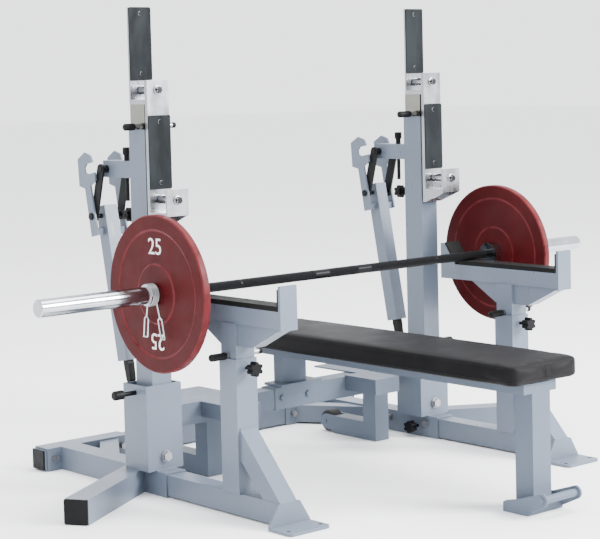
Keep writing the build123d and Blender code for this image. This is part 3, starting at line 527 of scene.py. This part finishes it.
def pin_grip(side, kind, body):
    """Ribbed handle at the left end of a cross pin, and the cap on its point."""
    low, high = (Vector(c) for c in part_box(f"{kind}_pin_{side}"))
    y = (low.y + high.y) / 2
    z = (low.z + high.z) / 2
    middle = RACK_X if side == "right" else -RACK_X
    length = middle - 0.0435 - low.x
    profile = [(-0.0004, 0.0040), (-0.0003, 0.0082), (0.0012, 0.0098)]
    ribs = int((length - 0.006) / 0.0044)
    for k in range(ribs):
        at = 0.003 + 0.0044 * k
        profile += [(at, 0.0098), (at + 0.0012, 0.0105), (at + 0.0030, 0.0105)]
    profile += [(length - 0.001, 0.0099), (length, 0.0090)]
    grip = turned("grip", (low.x, y, z), (1, 0, 0), profile, 32)
    put(grip, f"{kind}_pin_grip_{side}", BLACK, body)
    cap = [(-0.0145, 0.0080), (-0.0140, 0.0086), (-0.0030, 0.0086), (-0.0004, 0.0066), (0.0002, 0.0030)]
    point = turned("cap", (high.x, y, z), (1, 0, 0), cap, 28)
    put(point, f"{kind}_pin_cap_{side}", BLACK, body)


def axle_heads(side):
    """Dark hexagon heads of the roller axles on the hook lips."""
    wear_low = Vector(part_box("wear_plates_" + side)[0])
    hook_low, hook_high = (Vector(c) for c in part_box("hook_" + side))
    x = (hook_low.x + hook_high.x) / 2
    for level, face in (("upper", wear_low.y + 0.0065), ("lower", hook_low.y + 0.011)):
        roller = centre(f"roller_{level}_{side}")
        flat = [(0, 0.0142), (0.0022, 0.0142), (0.0026, 0.0136)]
        washer = turned("washer", (x, face + 0.0002, roller.z), (0, -1, 0), flat, 36)
        put(washer, f"axle_washer_{level}_{side}", BOLT, "rack_post_" + side)
        head = turned("head", (x, face - 0.0022, roller.z), (0, -1, 0),
                      [(0, 0.0112), (0.0078, 0.0112), (0.0090, 0.0098), (0.0091, 0.0050)], 6)
        put(head, f"axle_head_{level}_{side}", DARK_STEEL, "rack_post_" + side, False)


def clip(side, s):
    """Coil of the spring clip."""
    plate_low, plate_high = (Vector(c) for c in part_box("bar_plate_" + side))
    face = plate_low.x if s < 0 else plate_high.x
    y = (plate_low.y + plate_high.y) / 2
    z = (plate_low.z + plate_high.z) / 2
    turns = 4.5
    points = []
    for k in range(int(turns * 36) + 1):
        turn = 2 * math.pi * k / 36
        along = face + s * (0.0085 + 0.0052 * k / 36)
        points.append((along, y + 0.0302 * math.cos(turn), z + 0.0302 * math.sin(turn)))
    put(swept("coil", points, 0.0026, 8), "clip_coil_" + side, BOLT, "bar_sleeve_" + side)


def weight_marks(side, s):
    """Raised numerals on the outer face of the plate, and a hub ring."""
    low, high = (Vector(c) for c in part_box("bar_plate_" + side))
    y = (low.y + high.y) / 2
    z = (low.z + high.z) / 2
    for way, face in ((1, high.x), (-1, low.x)):
        outer = face - way * 0.0031
        for k, turn in enumerate((0, math.pi)):
            text = bpy.data.curves.new("numeral", "FONT")
            text.body = "25"
            text.size = 0.066
            text.align_x = "CENTER"
            text.align_y = "CENTER"
            text.extrude = 0.0010
            holder = bpy.data.objects.new("numeral", text)
            bpy.context.collection.objects.link(holder)
            deps = bpy.context.evaluated_depsgraph_get()
            mesh = bpy.data.meshes.new_from_object(holder.evaluated_get(deps))
            bpy.data.objects.remove(holder)
            face_on = Matrix.Rotation(math.pi / 2, 4, "X")
            face_on = Matrix.Rotation(way * math.pi / 2, 4, "Z") @ face_on
            spin = Matrix.Rotation(turn, 4, "X")
            place = Matrix.Translation((outer, y, z)) @ spin @ Matrix.Translation((0, 0, NUMERAL_R))
            mesh.transform(place @ face_on)
            mesh.materials.clear()
            facing = "in" if way * s < 0 else "out"
            put(mesh, f"numeral_{side}_{facing}_{k}", WHITE, "bar_sleeve_" + side, False)
        if way * s > 0:
            profile = [(0.0, 0.0405), (0.0008, 0.0405), (0.0010, 0.0395), (0.00095, 0.0262), (0.0, 0.0258)]
            ring = turned("hub", (face - way * 0.0010, y, z), (way, 0, 0), profile, 64)
            put(ring, f"plate_hub_{side}", BOLT, "bar_sleeve_" + side)


def bead(name, points, body, radius=0.0028):
    """A weld bead along a line of corners."""
    full = []
    for a, b in zip(points, points[1:]):
        a = Vector(a)
        b = Vector(b)
        cuts = max(2, int((b - a).length / 0.0045))
        full += [a.lerp(b, k / cuts) for k in range(cuts)]
    full.append(Vector(points[-1]))
    put(swept(name, full, radius, 7, ripple=0.18), name, WELD, body)


def beads(side, s):
    """Welds round the housing foot, the jack arm, the brace and the safety post."""
    low, high = (Vector(c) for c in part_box("housings"))
    x = RACK_X * s
    z = low.z + 0.0006
    x0 = x - 0.036
    x1 = x + 0.036
    bead(f"weld_housing_{side}", [(x0, low.y, z), (x1, low.y, z)], "base")
    bead(f"weld_housing_back_{side}", [(x0, high.y, z), (x1, high.y, z)], "base")
    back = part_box("upright_" + side)[0][1] + 0.080
    top = JACK_ARM_Z + 0.025
    bead(f"weld_arm_{side}", [(x - 0.025, back, top), (x + 0.025, back, top)], "upright_" + side, 0.0024)
    for edge in (-1, 1):
        bead(f"weld_arm_{side}_{edge + 1}",
             [(x + edge * 0.025, back, top), (x + edge * 0.025, back, top - 0.050)],
             "upright_" + side, 0.0024)
    post_low, post_high = (Vector(c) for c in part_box("safety_post_" + side))
    y1 = post_high.y
    y0 = y1 - 0.075
    foot = post_low.z
    for edge in (-1, 1):
        bead(f"weld_post_{side}_{edge + 1}", [(x + edge * 0.031, y0, foot), (x + edge * 0.031, y1, foot)],
             "front_leg_" + side, 0.0024)
    bead(f"weld_post_back_{side}", [(x - 0.031, y1, foot), (x + 0.031, y1, foot)], "front_leg_" + side,
         0.0024)
    bead(f"weld_brace_{side}", [(x - 0.030, y0, BRACE_TOP_Z), (x + 0.030, y0, BRACE_TOP_Z)],
         "front_leg_" + side, 0.0024)


for side, s in SIDES:
    wear_fixings(side)
    axle_heads(side)
    pin_grip(side, "rack", "rack_pin_" + side)
    pin_grip(side, "safety", "safety_pin_" + side)
    clip(side, s)
    weight_marks(side, s)
    beads(side, s)


# ---------------------------------------------------------------- studio
def studio():
    """Pale floor, soft light and the main camera."""
    bm = bmesh.new()
    bmesh.ops.create_grid(bm, x_segments=1, y_segments=1, size=40.0)
    floor = bpy.data.objects.new("floor", from_bmesh(bm, "floor"))
    floor.data.materials.append(Material("studio_floor", (0.93, 0.93, 0.935), 0.85).data)
    floor.location.z = -0.0008
    bpy.context.collection.objects.link(floor)
    world = bpy.data.worlds.new("studio")
    bpy.context.scene.world = world
    world.use_nodes = True
    world.node_tree.nodes["Background"].inputs["Color"].default_value = (0.96, 0.975, 1.0, 1.0)
    world.node_tree.nodes["Background"].inputs["Strength"].default_value = 2.5
    for name, place, size, power in (("key", (3.4, -5.2, 3.6), 2.6, 1300),
                                     ("fill", (-6.0, -0.6, 2.6), 3.4, 40),
                                     ("top", (0.6, -0.6, 5.4), 4.0, 420)):
        lamp = bpy.data.lights.new(name, "AREA")
        lamp.size = size
        lamp.energy = power
        holder = bpy.data.objects.new(name, lamp)
        holder.location = place
        aim = Vector((0, 0, 0.6)) - Vector(place)
        holder.rotation_euler = aim.to_track_quat("-Z", "Y").to_euler()
        bpy.context.collection.objects.link(holder)
    lens = bpy.data.cameras.new("main")
    lens.sensor_width = 36
    lens.lens = 106.14
    lens.shift_y = -0.1104
    lens.clip_end = 100
    camera = bpy.data.objects.new("main", lens)
    camera.matrix_world = (Matrix.Translation((-3.6325, -3.9775, 1.2323))
                           @ Matrix.Rotation(math.radians(49.26 - 90), 4, "Z")
                           @ Matrix.Rotation(math.radians(90 - 4.172), 4, "X")
                           @ Matrix.Rotation(math.radians(-1.43), 4, "Z"))
    bpy.context.collection.objects.link(camera)
    bpy.context.scene.camera = camera


studio()
